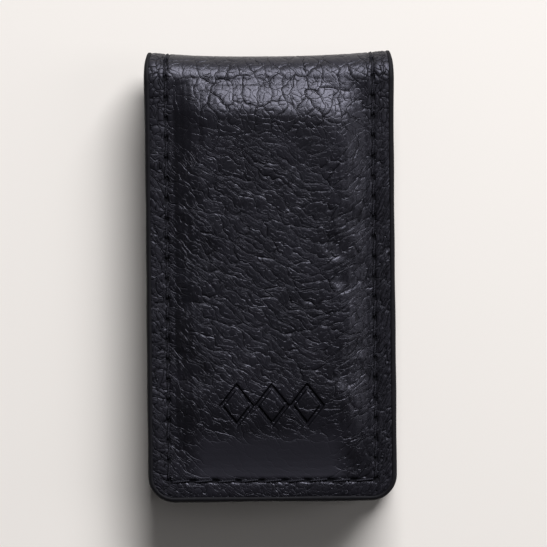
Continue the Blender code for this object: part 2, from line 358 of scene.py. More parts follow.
# the grain, with cells as (across, along) in pebbles, half widths of creases as a share of a cell, and
# places in millimetres
PANEL_CELL = (3.1, 1.2)
PANEL_SMALL_CELL = (0.62, 0.44)
FOLD_CELL = (1.5, 2.4)
FOLD_SMALL_CELL = (0.74, 0.78)
FOLD_NARROW = 1.5               # how much narrower the creases over the fold are for their cells
CREASE_WIDE = 0.11
SMALL_CREASE_WIDE = 0.16
CREASE_HAND_OVER = 0.12
SMALL_HAND_OVER = 0.17
PANEL_FROM, FOLD_FROM = 20.0, 13.0
BORDER_FROM, BORDER_TO = 14.6, 16.2
WANDER = (3.2, 2.8)             # how far the creases wander across and along
FALL = 0.7                      # fall of the panel's creases to the right
RISE = 0.075                    # how sharply they rise again on the right
RISE_FROM = 3.0
DOME = 0.16                     # heights as a share of the crease's depth
SWELL = 0.9
FINE_PANEL, FINE_BORDER = 0.45, 1.2


def stamp(graph, across, along):
    """0 to 1: a row of three outlined diamonds pressed in near the front arm's free end."""
    column = (across / STAMP_PITCH).rounded().above(-1.0).below(1.0)
    x = abs(across - column * STAMP_PITCH) / STAMP_WIDE
    y = abs(along - STAMP_ALONG) / STAMP_TALL
    return abs((x + y - 1.0) * (STAMP_WIDE * STAMP_SLANT)).step(STAMP_LINE, STAMP_LINE * 0.35)


def smooth_end(graph, across, along):
    """0 to 1: where the front panel's grain is pressed out, between the stamp and the end seam; the
    leather's colour is also lightened there as painted light.
    """
    return (abs(across + 0.6).step(13.5, 9.5) * (along - STAMP_ALONG).step(-3.0, -6.5)
            * (along + SEAM_ALONG / MM).step(-0.2, 1.0))


def cell(graph, x, y, pebble, size):
    return graph.cell_edge(graph.vector(x / (pebble * size[0]), y / (pebble * size[1])))


def pebble_grain(graph, across, along, leather, fineness=1.0):
    """(height in metres, crease from 0 to 1) of the grain at a place on the flat leather, in mm.

    A higher fineness cuts the creases narrower."""
    crease = leather.crease
    pebble = leather.pebble / MM
    narrow = 1.0 / fineness
    place = graph.vector(across, along)
    from_fold = abs(along)
    shift_x, shift_y, _ = graph.parts(graph.noise(place, 0.30, 2.0, output=1))
    x = across + (shift_x - 0.5) * WANDER[0]
    y = along + (shift_y - 0.5) * WANDER[1]

    # in the panel the creases fall away to the right and rise again along its right side
    right = (across - RISE_FROM).above(0.0)
    bowed = y + x * FALL - right * right * RISE
    in_panel = cell(graph, x, bowed, pebble, PANEL_CELL)
    small_in_panel = cell(graph, x, bowed, pebble, PANEL_SMALL_CELL)
    # over the fold they run straight down it
    over_fold = cell(graph, x, y, pebble, FOLD_CELL) * FOLD_NARROW
    small_over_fold = cell(graph, x, y, pebble, FOLD_SMALL_CELL)
    near_fold = from_fold.step(PANEL_FROM, FOLD_FROM)

    def hand_over(first, second, reach):
        return (first + near_fold * reach).below(second + (1.0 - near_fold) * reach)

    edge = hand_over(in_panel, over_fold, CREASE_HAND_OVER * narrow)
    small = hand_over(small_in_panel, small_over_fold, SMALL_HAND_OVER * narrow)

    depth = graph.noise(place, 0.30, 1.0)
    worn = graph.noise(place, 0.9, 2.0)
    pressed = abs(across).step(15.0, 8.0) * (along - STAMP_ALONG).step(6.5, 2.0) * 0.45
    beside = abs(across).step(BORDER_FROM, BORDER_TO)
    outside = beside.above(from_fold.step(SEAM_ALONG / MM - 0.8, SEAM_ALONG / MM + 0.2))
    stretched = across.step(-10.5, -13.0) * (1.0 - outside) * 0.5
    firm = 1.0 - pressed.above(smooth_end(graph, across, along) * 0.92).above(stretched)

    main = edge.step(CREASE_WIDE * narrow, 0.0) * graph.mix(depth.step(0.36, 0.58), 0.30, 1.0)
    main = main * (1.0 - outside * 0.3)
    kept = graph.mix(worn.step(0.40, 0.60), 0.30 + outside * 0.4, 1.0)
    fine = small.step(SMALL_CREASE_WIDE * narrow, 0.0) * kept
    dome = edge.step(0.0, 0.30)
    swell = graph.noise(place, 0.16, 1.0)
    fine_depth = graph.mix(outside, FINE_PANEL, FINE_BORDER) * crease
    height = (dome * (DOME * crease) - main * crease - fine * fine_depth) * firm
    height = height * graph.mix(near_fold, 1.0, 0.85)
    height = height + swell * (SWELL * crease) - stamp(graph, across, along) * STAMP_DEPTH
    return height, ((main + fine * 0.45) * firm).below(1.0)


def needle_holes(graph, across, along, seam):
    """0 to 1: the needle holes between the stitches."""
    def row(line, run, reach, count):
        pitch = 2 * reach / MM / count
        step = (run + reach / MM) / pitch
        gap = abs(step - step.rounded()) * (pitch / HOLE_LONG * MM)
        off = abs(line) / (HOLE_DARK * HOLE_WIDE / MM)
        inside = abs(run).step(reach / MM + 0.6, reach / MM + 0.4)
        return (gap * gap + off * off).step(1.5, 0.4) * inside

    side = row(abs(across) - SEAM_ACROSS / MM, along, SEAM_ALONG, seam.side_stitches)
    end = row(abs(along) - SEAM_ALONG / MM, across, SEAM_ACROSS, seam.end_stitches)
    return side.above(end)


def raise_grain(obj, leather):
    """Raises the grain of a flat sheet as real shape."""
    tree = bpy.data.node_groups.new("pebble_grain", "GeometryNodeTree")
    for side in ("INPUT", "OUTPUT"):
        tree.interface.new_socket("Geometry", in_out=side, socket_type="NodeSocketGeometry")
    graph = Graph(tree)
    sheet = graph.add("NodeGroupInput")
    flat = graph.add("GeometryNodeInputNamedAttribute", {"data_type": "FLOAT_VECTOR"}, {"Name": "flat"})
    across, along, _ = graph.parts(flat)
    height, _ = pebble_grain(graph, across / MM, along / MM, leather)
    raised = graph.add("GeometryNodeSetPosition", None,
                       {"Geometry": sheet, "Offset": graph.vector(0.0, 0.0, height)})
    out = tree.nodes.new("NodeGroupOutput")
    tree.links.new(raised.socket, out.inputs[0])
    modifier = obj.modifiers.new("grain", "NODES")
    modifier.node_group = tree
    apply_modifier(obj, modifier)


# ---------------------------------------------------------------- finishes

BLUISH = (0.80, 0.80, 1.0, 1.0)     # tint of the gloss
THREAD_TWIST = 1.9                  # turns of the thread's plies in a millimetre


def pebbled_leather(leather, seam):
    finish = Finish("pebbled_black_leather")
    across, along = finish.flat()
    place = finish.vector(across, along)
    height, crease = pebble_grain(finish, across, along, leather, fineness=2.0)
    holes = needle_holes(finish, across, along, seam)
    pores = finish.noise(place, 5.5, 3.0)
    cloud = finish.noise(place, 0.12, 2.0)
    base = tuple(leather.colour)
    rubbed = tuple(channel * 1.7 for channel in base)
    # painted shade: the creases and the needle holes are darkened in the colour
    painted_crease_shade = tuple(channel * 0.4 for channel in base)
    colour = finish.blend(cloud.step(0.35, 0.7), base, rubbed)
    colour = finish.blend((crease * 0.8).above(holes), colour, painted_crease_shade)
    roughness = finish.mix(pores.step(0.35, 0.65), 0.31, 0.39) + crease * 0.10
    # the pressed-out smooth end is made rougher, and its colour is lightened as painted light
    ironed_and_painted_light = smooth_end(finish, across, along)
    colour = finish.blend(ironed_and_painted_light, colour, tuple(channel * 2.4 for channel in base))
    roughness = finish.mix(ironed_and_painted_light, roughness, 0.54)
    border = abs(across).step(BORDER_FROM, BORDER_TO)
    roughness = finish.mix(holes, roughness + border * 0.09, 1.0)
    height = height * finish.mix(border, 1.5, 3.4) + pores * (0.020 * MM) - holes * (0.3 * MM)
    return finish.surface(colour, roughness, height, Specular_IOR_Level=0.44,
                          Specular_Tint=BLUISH)


def smooth_leather():
    finish = Finish("smooth_black_lining")
    across, along = finish.flat()
    place = finish.vector(across, along)
    fibres = finish.noise(place, 2.6, 4.0)
    hair = finish.cell_edge(finish.vector(across / 0.34, along / 0.42))
    cloud = finish.noise(place, 0.14, 2.0)
    colour = finish.blend(cloud.step(0.3, 0.7), (0.011, 0.0108, 0.013), (0.020, 0.0195, 0.022))
    roughness = finish.mix(fibres, 0.46, 0.62)
    height = hair.step(0.0, 0.25) * (0.012 * MM) + fibres * (0.02 * MM)
    return finish.surface(colour, roughness, height)


def edge_paint():
    finish = Finish("black_edge_paint")
    place = finish.place()
    runs = finish.noise(place, 0.55, 2.0)
    specks = finish.noise(place, 5.0, 2.0)
    colour = finish.blend(runs.step(0.3, 0.7), (0.0032, 0.0031, 0.0040), (0.0050, 0.0048, 0.0062))
    roughness = finish.mix(runs, 0.62, 0.74)
    return finish.surface(colour, roughness, runs * (0.10 * MM) + specks * (0.008 * MM),
                          Specular_IOR_Level=0.2, Specular_Tint=(0.88, 0.88, 1.0, 1.0))


def black_thread():
    finish = Finish("black_bonded_thread")
    around, along = finish.flat()
    wound = (around + along * THREAD_TWIST) * (4 * math.pi)
    twist = wound.math("SINE", wound)
    lint = finish.noise(finish.place(), 9.0, 2.0)
    colour = finish.blend(lint.step(0.3, 0.7), (0.0035, 0.0034, 0.0050), (0.0070, 0.0068, 0.0095))
    roughness = finish.mix(lint, 0.5, 0.68)
    return finish.surface(colour, roughness, twist * (0.02 * MM), Specular_IOR_Level=0.3,
                          Specular_Tint=BLUISH)


def fibre_board():
    finish = Finish("grey_fibre_board")
    place = finish.place()
    felt = finish.noise(place, 2.2, 5.0)
    colour = finish.blend(felt.step(0.3, 0.7), (0.16, 0.15, 0.14), (0.27, 0.25, 0.23))
    return finish.surface(colour, finish.mix(felt, 0.82, 0.95), felt * (0.08 * MM))


def nickel_plate():
    finish = Finish("bright_nickel_plate")
    place = finish.place()
    haze = finish.noise(place, 0.8, 3.0)
    colour = finish.blend(haze, (0.66, 0.64, 0.60), (0.72, 0.70, 0.66))
    return finish.surface(colour, finish.mix(haze, 0.16, 0.30), haze * (0.004 * MM), Metallic=1.0)


# ---------------------------------------------------------------- workbench

def only(obj):
    """Selects one object and makes it active."""
    bpy.ops.object.select_all(action="DESELECT")
    obj.select_set(True)
    bpy.context.view_layer.objects.active = obj


def apply_modifier(obj, modifier):
    only(obj)
    bpy.ops.object.modifier_apply(modifier=modifier.name)


def points_of(obj):
    points = np.empty(len(obj.data.vertices) * 3)
    obj.data.vertices.foreach_get("co", points)
    return points.reshape(-1, 3)


def place_points(obj, points):
    obj.data.vertices.foreach_set("co", np.ascontiguousarray(points, np.float32).ravel())
    obj.data.update()


def sheet(name, columns, rows, shape):
    """A grid of columns x rows faces whose corners shape(column, row) puts at (across, along, out)."""
    bpy.ops.object.select_all(action="DESELECT")
    bpy.ops.mesh.primitive_grid_add(x_subdivisions=columns, y_subdivisions=rows, size=1.0,
                                    calc_uvs=True, location=(0.0, 0.0, 0.0))
    obj = bpy.context.object
    obj.name = obj.data.name = name
    spots = points_of(obj)
    column = np.rint((spots[:, 0] + 0.5) * columns).astype(int)
    row = np.rint((spots[:, 1] + 0.5) * rows).astype(int)
    place_points(obj, np.stack(shape(column, row), axis=1))
    return obj


def keep_flat(obj, spots=None):
    """Keeps each corner's place on the flat leather as the piece's own UV map, in metres."""
    layer = obj.data.uv_layers[0]
    layer.name = "flat"
    spots = points_of(obj)[:, :2] if spots is None else spots
    corner = np.empty(len(obj.data.loops), dtype=int)
    obj.data.loops.foreach_get("vertex_index", corner)
    layer.data.foreach_set("uv", np.ascontiguousarray(spots[corner], np.float32).ravel())


def edit(obj, *steps):
    """Runs edit-mode operators, given as (operator, arguments), on all of a piece."""
    only(obj)
    bpy.ops.object.mode_set(mode="EDIT")
    bpy.ops.mesh.select_all(action="SELECT")
    for operator, arguments in steps:
        operator(**arguments)
    bpy.ops.object.mode_set(mode="OBJECT")


def joined(name, pieces):
    bpy.ops.object.select_all(action="DESELECT")
    for piece in pieces:
        piece.select_set(True)
    bpy.context.view_layer.objects.active = pieces[0]
    bpy.ops.object.join()
    pieces[0].name = pieces[0].data.name = name
    return pieces[0]


def smooth(t):
    t = np.clip(t, 0.0, 1.0)
    return t * t * (3 - 2 * t)


# ---------------------------------------------------------------- folding over

def fold_over(points, leather):
    """Takes points on the flat leather to their place in the clip."""
    across, along, out = points.T
    turn = np.clip(along, -QUARTER, QUARTER) / LEATHER_FACE
    run = np.maximum(np.abs(along) - QUARTER, 0.0)
    around = np.cos(turn)
    share = np.abs(across) / HALF_WIDTH
    out = out + around * (leather.saddle * share ** 2.5 - SADDLE_SINK)
    flare = FLARE * np.exp(-((np.abs(along) - FLARE_AT) / FLARE_LONG) ** 2)
    across = across * (1 - (leather.pinch * around ** 5 - flare) / HALF_WIDTH)
    return np.stack([across, FOLD_Y + out * around - run, MIDDLE_Z - out * np.sin(turn)], axis=1)


def finish_piece(whole, names, material, leather, inner, replaced):
    """Folds a flat piece over, parts it at the joints and puts the front and rear parts on their arms'
    bodies, leaving the parts over the fold unattached.

    names are (front, fold, rear); inner is the piece's smallest distance from the middle of the gap,
    and replaced gives the CAD nodes that a part stands for."""
    mesh = whole.data
    cuts = [-QUARTER + i * STRIP_ALONG for i in range(STRIPS + 1)]
    shape = bmesh.new()
    shape.from_mesh(mesh)
    for cut in cuts:
        near = [f for f in shape.faces
                if min(v.co.y for v in f.verts) <= cut + 0.01 * MM
                and max(v.co.y for v in f.verts) >= cut - 0.01 * MM]
        near_edges = {e for f in near for e in f.edges}
        near_verts = {v for f in near for v in f.verts}
        bmesh.ops.bisect_plane(shape, geom=[*near_verts, *near_edges, *near], dist=1e-3 * MM,
                               plane_co=(0.0, cut, 0.0), plane_no=(0.0, 1.0, 0.0))
    part = shape.faces.layers.int.new("part")
    for face in shape.faces:
        middle = face.calc_center_median().y
        face[part] = min(max(math.floor((middle + QUARTER) / STRIP_ALONG) + 1, 0), STRIPS + 1)
    shape.to_mesh(mesh)
    shape.free()
    place_points(whole, fold_over(points_of(whole), leather))
    mesh.shade_smooth()
    mesh.materials.clear()
    mesh.materials.append(material)
    normals = np.empty(len(mesh.vertices) * 3)
    mesh.vertex_normals.foreach_get("vector", normals)
    shade = mesh.attributes.new("shade", "FLOAT_VECTOR", "POINT")
    shade.data.foreach_set("vector", normals.astype(np.float32))

    for number in range(STRIPS + 2):
        strip = STRIPS + 1 - number                # counted from the rear arm
        name = names[0] if number == 0 else names[2] if strip == 0 else f"{names[1]}_{strip}"
        piece = bpy.data.objects.new(name, mesh.copy())
        bpy.context.collection.objects.link(piece)
        piece.data.name = name
        shape = bmesh.new()
        shape.from_mesh(piece.data)
        part = shape.faces.layers.int["part"]
        others = [f for f in shape.faces if f[part] != number]
        bmesh.ops.delete(shape, geom=others, context="FACES")
        if not shape.faces:
            shape.free()
            bpy.data.objects.remove(piece)
            continue
        bmesh.ops.holes_fill(shape, edges=[e for e in shape.edges if e.is_boundary], sides=0)
        shape.to_mesh(piece.data)
        shape.free()
        data = piece.data
        kept = np.empty(len(data.vertices) * 3)
        data.attributes["shade"].data.foreach_get("vector", kept)
        data.shade_smooth()
        data.normals_split_custom_set_from_vertices(kept.reshape(-1, 3).tolist())
        data.attributes.remove(data.attributes["shade"])
        data.attributes.remove(data.attributes["part"])
        if number == 0:
            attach(piece, BODIES[-1])
        elif strip == 0:
            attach(piece, BODIES[0])
        else:
            turn = (strip - 0.5) * math.pi / STRIPS          # from the rear arm
            reach = inner * math.sin(0.5 * math.pi / STRIPS)
            middle = Vector((0.0, FOLD_Y + inner * math.sin(turn), MIDDLE_Z - inner * math.cos(turn)))
            way = Vector((0.0, math.cos(turn), math.sin(turn))) * reach
            middle - way
            middle + way
            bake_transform(piece)
        if replaced.get(name):
            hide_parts(*replaced[name])
    old = whole.data
    bpy.data.objects.remove(whole)
    bpy.data.meshes.remove(old)


def lines_along(spacing):
    """Places of the rows of a sheet along the leather, with one on every joint between two parts."""
    arm = max(2, round((CUT_ALONG - QUARTER) / spacing))
    strip = max(2, round(STRIP_ALONG / spacing))
    rows = [np.linspace(-CUT_ALONG, -QUARTER, arm + 1)]
    for i in range(STRIPS):
        start = -QUARTER + i * STRIP_ALONG
        rows.append(np.linspace(start, start + STRIP_ALONG, strip + 1)[1:])
    rows.append(np.linspace(QUARTER, CUT_ALONG, arm + 1)[1:])
    return np.concatenate(rows)


def round_corners(across, along, half, reach):
    """Draws a rectangular grid's corners in to the radius of the free ends' corners."""
    a = np.clip((np.abs(across) - (half - CORNER)) / CORNER, 0.0, 1.0)
    b = np.clip((np.abs(along) - (reach - CORNER)) / CORNER, 0.0, 1.0)
    inward_a = a * (1 - np.sqrt(1 - b * b / 2)) * CORNER
    inward_b = b * (1 - np.sqrt(1 - a * a / 2)) * CORNER
    return across - np.sign(across) * inward_a, along - np.sign(along) * inward_b


def edge_distance(across, along):
    """Distance in from the cut edge of the leather."""
    x = np.abs(across) - (CUT_HALF - CORNER)
    y = np.abs(along) - (CUT_ALONG - CORNER)
    return CORNER - np.hypot(np.maximum(x, 0), np.maximum(y, 0)) - np.minimum(np.maximum(x, y), 0)


# ---------------------------------------------------------------- the leather

def crown_height(across, along, leather):
    """How far the padding lifts the leather over an arm."""
    def to_rise(distance, slope):
        return 1 - np.clip(distance / slope, 0.0, 1.0)

    side = to_rise(HALF_WIDTH - CROWN_INSET - np.abs(across), leather.side_slope)
    fold = to_rise(np.abs(along) - QUARTER + CROWN_PAST_FOLD,
                   leather.fold_slope * (1 + CROWN_SKEW * across / HALF_WIDTH))
    end = smooth((CUT_ALONG + COAT - CROWN_INSET - np.abs(along)) / leather.end_slope)
    lift = np.clip(1 - np.hypot(side, fold), 0.0, 1.0)
    flattened = 1 - CROWN_FLATTENED * (np.abs(across) / HALF_WIDTH) ** 2
    return CROWN * np.sin(lift * math.pi / 2) ** CROWN_POWER * flattened * end


def padded_lift(leather):
    """Lift of the leather over an arm's padding, as a function of (across, along).

    The sheet is sewn down round the panel and swells from below as cloth."""
    columns = round(2 * CUT_HALF / CLOTH_STEP)
    rows = round((CUT_ALONG - QUARTER) / CLOTH_STEP)
    across = np.linspace(-CUT_HALF, CUT_HALF, columns + 1)
    run = np.linspace(0.0, CUT_ALONG - QUARTER, rows + 1)
    lift = crown_height(across[None, :], QUARTER + run[:, None], leather)
    order = []

    def shape(column, row):
        order.append((row, column))
        return (across[column] * CLOTH_SCALE, run[row] * CLOTH_SCALE,
                lift[row, column] * CLOTH_SCALE * CLOTH_START)

    cloth = sheet("crown_cloth", columns, rows, shape)
    sewn = cloth.vertex_groups.new(name="sewn")
    held = np.flatnonzero(lift[order[0]] < CLOTH_SEWN)
    sewn.add(held.tolist(), 1.0, "REPLACE")
    modifier = cloth.modifiers.new("swell", "CLOTH")
    settings = modifier.settings
    settings.quality = 8
    settings.mass = 0.3
    settings.tension_stiffness = settings.compression_stiffness = 20.0
    settings.shear_stiffness = 12.0
    settings.bending_stiffness = 3.0
    settings.vertex_group_mass = sewn.name
    settings.shrink_min = -0.012
    settings.use_pressure = True
    settings.uniform_pressure_force = CLOTH_PRESSURE
    settings.effector_weights.gravity = 0.0
    for number in range(1, CLOTH_FRAMES + 1):
        bpy.context.scene.frame_set(number)
    apply_modifier(cloth, modifier)
    swollen = np.empty_like(lift)
    swollen[order[0]] = points_of(cloth)[:, 2] / CLOTH_SCALE
    bpy.data.objects.remove(cloth)
    bpy.context.scene.frame_set(1)
    lift = np.clip(swollen, lift * 0.85, lift + np.minimum(lift * 0.3, CLOTH_CAP))

    def lift_at(x, y):
        column = np.clip((x + CUT_HALF) / (2 * CUT_HALF) * columns, 0, columns - 1e-6)
        row = np.clip((np.abs(y) - QUARTER) / (CUT_ALONG - QUARTER) * rows, 0, rows - 1e-6)
        c, r = column.astype(int), row.astype(int)
        u, v = smooth(column - c) * 0.5 + (column - c) * 0.5, row - r
        near = lift[r, c] * (1 - u) + lift[r, c + 1] * u
        far = lift[r + 1, c] * (1 - u) + lift[r + 1, c + 1] * u
        on_fold = crown_height(x, y, leather)
        return np.where(np.abs(y) > QUARTER, near * (1 - v) + far * v, on_fold)

    return lift_at


def seam_hollow(across, along, seam):
    """Depth of the stitch groove and of the needle holes in it."""
    pitch = 2 * SEAM_ALONG / seam.side_stitches
    side = np.abs(np.abs(across) - SEAM_ACROSS) + 10 * np.maximum(np.abs(along) - SEAM_ALONG, 0)
    step = along - np.rint((along + SEAM_ALONG) / pitch) * pitch + SEAM_ALONG
    holes = np.exp(-(side / HOLE_WIDE) ** 2 - (step / HOLE_LONG) ** 2)
    end_pitch = 2 * SEAM_ACROSS / seam.end_stitches
    end = np.abs(np.abs(along) - SEAM_ALONG) + 10 * np.maximum(np.abs(across) - SEAM_ACROSS, 0)
    step = across - np.rint((across + SEAM_ACROSS) / end_pitch) * end_pitch + SEAM_ACROSS
    holes = np.maximum(holes, np.exp(-(end / HOLE_WIDE) ** 2 - (step / HOLE_LONG) ** 2))
    groove = np.exp(-(np.minimum(side, end) / GROOVE_WIDE) ** 2)
    return GROOVE * groove + HOLE * holes


class MONEYCLIP_OT_leather(Operator):
    """Cuts the pebbled leather, lifts it over the padding, raises its grain and folds it over"""
    bl_idname = "money_clip.leather"
    bl_label = "Pebbled Leather"

    def execute(self, context):
        leather, seam = context.scene.clip_leather, context.scene.clip_seam
        rows = lines_along(leather.grid)
        columns = round(2 * CUT_HALF / leather.grid)
        lift_at = padded_lift(leather)

        def shape(column, row):
            across = (column / columns * 2 - 1) * CUT_HALF
            across, along = round_corners(across, rows[row], CUT_HALF, CUT_ALONG)
            rolled = np.clip(1 - edge_distance(across, along) / EDGE_ROLL_WIDE, 0.0, 1.0)
            out = (LEATHER_FACE + lift_at(across, along)
                   - EDGE_ROLL * rolled ** 2 - seam_hollow(across, along, seam))
            return across, along, out

        whole = sheet("leather", columns, len(rows) - 1, shape)
        keep_flat(whole)
        raise_grain(whole, leather)
        points = points_of(whole)                  # the rear arm is pressed flat where it rests
        rear = points[:, 1] > QUARTER
        points[rear, 2] = np.minimum(points[rear, 2], LEATHER_FACE + CROWN)
        place_points(whole, points)
        wall = whole.modifiers.new("wall", "SOLIDIFY")
        wall.thickness = LEATHER_FACE - LEATHER_BACK
        wall.offset = -1.0
        apply_modifier(whole, wall)
        points = points_of(whole)                  # the flesh side is smooth, without the grain
        count = len(points) // 2
        points[count:, :2] = points[:count, :2]
        points[count:, 2] = LEATHER_BACK + lift_at(points[:count, 0], points[:count, 1])
        place_points(whole, points)
        replaced = {"front_leather": ["front_outer_leather"], "rear_leather": ["rear_outer_leather"]}
        replaced.update({f"fold_leather_{i}": [f"fold_{i}_outer_leather"] for i in range(1, STRIPS)})
        finish_piece(whole, ("front_leather", "fold_leather", "rear_leather"),
                     pebbled_leather(leather, seam), leather, LEATHER_BACK - 0.5 * MM,
                     replaced)
        return {"FINISHED"}


LINING_GRID = 0.45 * MM
LINING_CRIMP = 0.045 * MM


class MONEYCLIP_OT_lining(Operator):
    """Cuts the smooth lining that faces the money and folds it with the leather"""
    bl_idname = "money_clip.lining"
    bl_label = "Smooth Lining"

    def execute(self, context):
        leather, seam = context.scene.clip_leather, context.scene.clip_seam
        rows = lines_along(LINING_GRID)
        columns = round(2 * CUT_HALF / LINING_GRID)

        def shape(column, row):
            across = (column / columns * 2 - 1) * CUT_HALF
            across, along = round_corners(across, rows[row], CUT_HALF, CUT_ALONG)
            rolled = np.clip(1 - edge_distance(across, along) / EDGE_ROLL_WIDE, 0.0, 1.0)
            folded = smooth(1 - (np.abs(along) - 0.7 * QUARTER) / (0.5 * QUARTER))
            crimp = np.sin(along / (0.21 * MM)) * np.cos(across / (2.3 * MM) + along / (1.4 * MM))
            out = (LINING_FACE + EDGE_ROLL * 0.6 * rolled ** 2
                   + seam_hollow(across, along, seam) * 0.6 + folded * crimp * LINING_CRIMP)
            return across, along, out

        whole = sheet("lining", columns, len(rows) - 1, shape)
        keep_flat(whole)
        edit(whole, (bpy.ops.mesh.flip_normals, {}))
        wall = whole.modifiers.new("wall", "SOLIDIFY")
        wall.thickness = LINING_BACK - LINING_FACE
        wall.offset = -1.0
        apply_modifier(whole, wall)
        replaced = {"front_smooth_lining": ["front_lining"], "rear_smooth_lining": ["rear_lining"]}
        replaced.update({f"fold_smooth_lining_{i}": [f"fold_{i}_lining"] for i in range(1, STRIPS)})
        finish_piece(whole, ("front_smooth_lining", "fold_smooth_lining", "rear_smooth_lining"),
                     smooth_leather(), leather, LINING_FACE - 0.5 * MM, replaced)
        return {"FINISHED"}


# ---------------------------------------------------------------- edge paint

class MONEYCLIP_OT_edge_paint(Operator):
    """Runs a rounded bead of edge paint round the cut edges of leather and lining"""
    bl_idname = "money_clip.edge_paint"
    bl_label = "Edge Paint"

    def execute(self, context):
        leather = context.scene.clip_leather
        side = lines_along(0.5 * MM)
        side = side[np.abs(side) < CUT_ALONG - CORNER - 0.1 * MM]
        side = np.concatenate([[-(CUT_ALONG - CORNER)], side, [CUT_ALONG - CORNER]])
        across = np.linspace(-(CUT_HALF - CORNER), CUT_HALF - CORNER, 60)
        arc = np.linspace(0.0, math.pi / 2, 13)[1:-1]
        path = []                          # (across, along, outward across, outward along)
        path += [(CUT_HALF, y, 1.0, 0.0) for y in side]
        path += [(CUT_HALF - CORNER + CORNER * math.cos(a), CUT_ALONG - CORNER + CORNER * math.sin(a),
                  math.cos(a), math.sin(a)) for a in arc]
        path += [(x, CUT_ALONG, 0.0, 1.0) for x in across[::-1]]
        half = len(path)
        corner = [(-x, y, -nx, ny) for x, y, nx, ny in path[len(side):len(side) + len(arc)][::-1]]
        path += corner
        path += [(-x, -y, -nx, -ny) for x, y, nx, ny in path[:half] + corner]
        path = np.array(path + path[:1])

        sides = 16
        angle = np.arange(sides + 1) * 2 * math.pi / sides
        middle = (LEATHER_FACE + LINING_FACE) / 2
        tall = (LEATHER_FACE - LINING_FACE) / 2 + 0.03 * MM
        corner_power = 2 / 2.7
        wide = np.where(np.cos(angle) > 0, COAT + 0.15 * MM, 0.38 * MM)
        outward = -0.15 * MM + wide * np.sign(np.cos(angle)) * np.abs(np.cos(angle)) ** corner_power
        out = middle + tall * np.sign(np.sin(angle)) * np.abs(np.sin(angle)) ** corner_power

        def shape(column, row):
            x, y, nx, ny = path[row].T
            uneven = 1 + 0.10 * np.sin(y / (5.3 * MM) + x / (3.1 * MM)) * np.cos(y / (2.9 * MM))
            reach = outward[column] * uneven
            return x + nx * reach, y + ny * reach, out[column]

        whole = sheet("edge_paint", sides, len(path) - 1, shape)
        keep_flat(whole)
        edit(whole, (bpy.ops.mesh.remove_doubles, {"threshold": 1e-3 * MM}),
             (bpy.ops.mesh.normals_make_consistent, {"inside": False}))
        finish_piece(whole, ("front_edge_paint", "fold_edge_paint", "rear_edge_paint"), edge_paint(),
                     leather, LINING_FACE - 0.5 * MM,
                     {"front_edge_paint": ["front_edge_coat"], "rear_edge_paint": ["rear_edge_coat"]})
        return {"FINISHED"}


# ---------------------------------------------------------------- stitching

STITCH_SIDES = 8
STITCH_RINGS = 11
STITCH_DROP = 0.62 * MM
FACE_SUNK = 0.02 * MM               # how far the thread's middle lies under the leather
BACK_SUNK = 0.09 * MM               # and under the lining, so that the two arms can close


def stitch(length, seam):
    """One stitch along Y from the origin, its two ends turned down into their holes."""
    radius = seam.thread / 2

    def shape(column, row):
        t = row / STITCH_RINGS
        end = np.abs(2 * t - 1)
        angle = column / STITCH_SIDES * 2 * math.pi
        ply = 1 + 0.14 * np.cos(2 * angle + t * 7 * math.pi)
        reach = radius * ply
        along = length * (0.5 + (t - 0.5) * (0.93 - 0.07 * end ** 4))
        drop = STITCH_DROP * end ** 7
        lean = (2 * t - 1) * math.tan(seam.slant) * length / 2
        return lean + np.sin(angle) * reach, along, np.cos(angle) * reach - drop

    piece = sheet("stitch", STITCH_SIDES, STITCH_RINGS, shape)
    spots = points_of(piece)
    keep_flat(piece, np.stack([np.arctan2(spots[:, 0], spots[:, 2]) / (2 * math.pi) * MM,
                               spots[:, 1]], axis=1))
    edit(piece, (bpy.ops.mesh.remove_doubles, {"threshold": 1e-3 * MM}),
         (bpy.ops.mesh.fill_holes, {"sides": 0}),
         (bpy.ops.mesh.normals_make_consistent, {"inside": False}))
    return piece


def stitch_row(start, quarter_turn, count, length, seam):
    """A row of stitches from a corner of the seam, along the leather or across it."""
    row = stitch(length, seam)
    repeat = row.modifiers.new("row", "ARRAY")
    repeat.count = count
    repeat.use_relative_offset = False
    repeat.use_constant_offset = True
    repeat.constant_offset_displace = (0.0, length, 0.0)
    apply_modifier(row, repeat)
    points = points_of(row)
    index = np.floor(points[:, 1] / length)
    points[:, 0] += 0.035 * MM * np.sin(index * 2.4)
    points[:, 2] += 0.02 * MM * np.sin(index * 1.7 + 1.0)
    if quarter_turn:
        points = points[:, [1, 0, 2]]
    place_points(row, points + np.array(start))
    return row


def seam_rows(seam, level):
    side = 2 * SEAM_ALONG / seam.side_stitches
    end = 2 * SEAM_ACROSS / seam.end_stitches
    rows = [stitch_row((x, -SEAM_ALONG, level), False, seam.side_stitches, side, seam)
            for x in (-SEAM_ACROSS, SEAM_ACROSS)]
    rows += [stitch_row((-SEAM_ACROSS, y, level), True, seam.end_stitches, end, seam)
             for y in (-SEAM_ALONG, SEAM_ALONG)]
    return rows


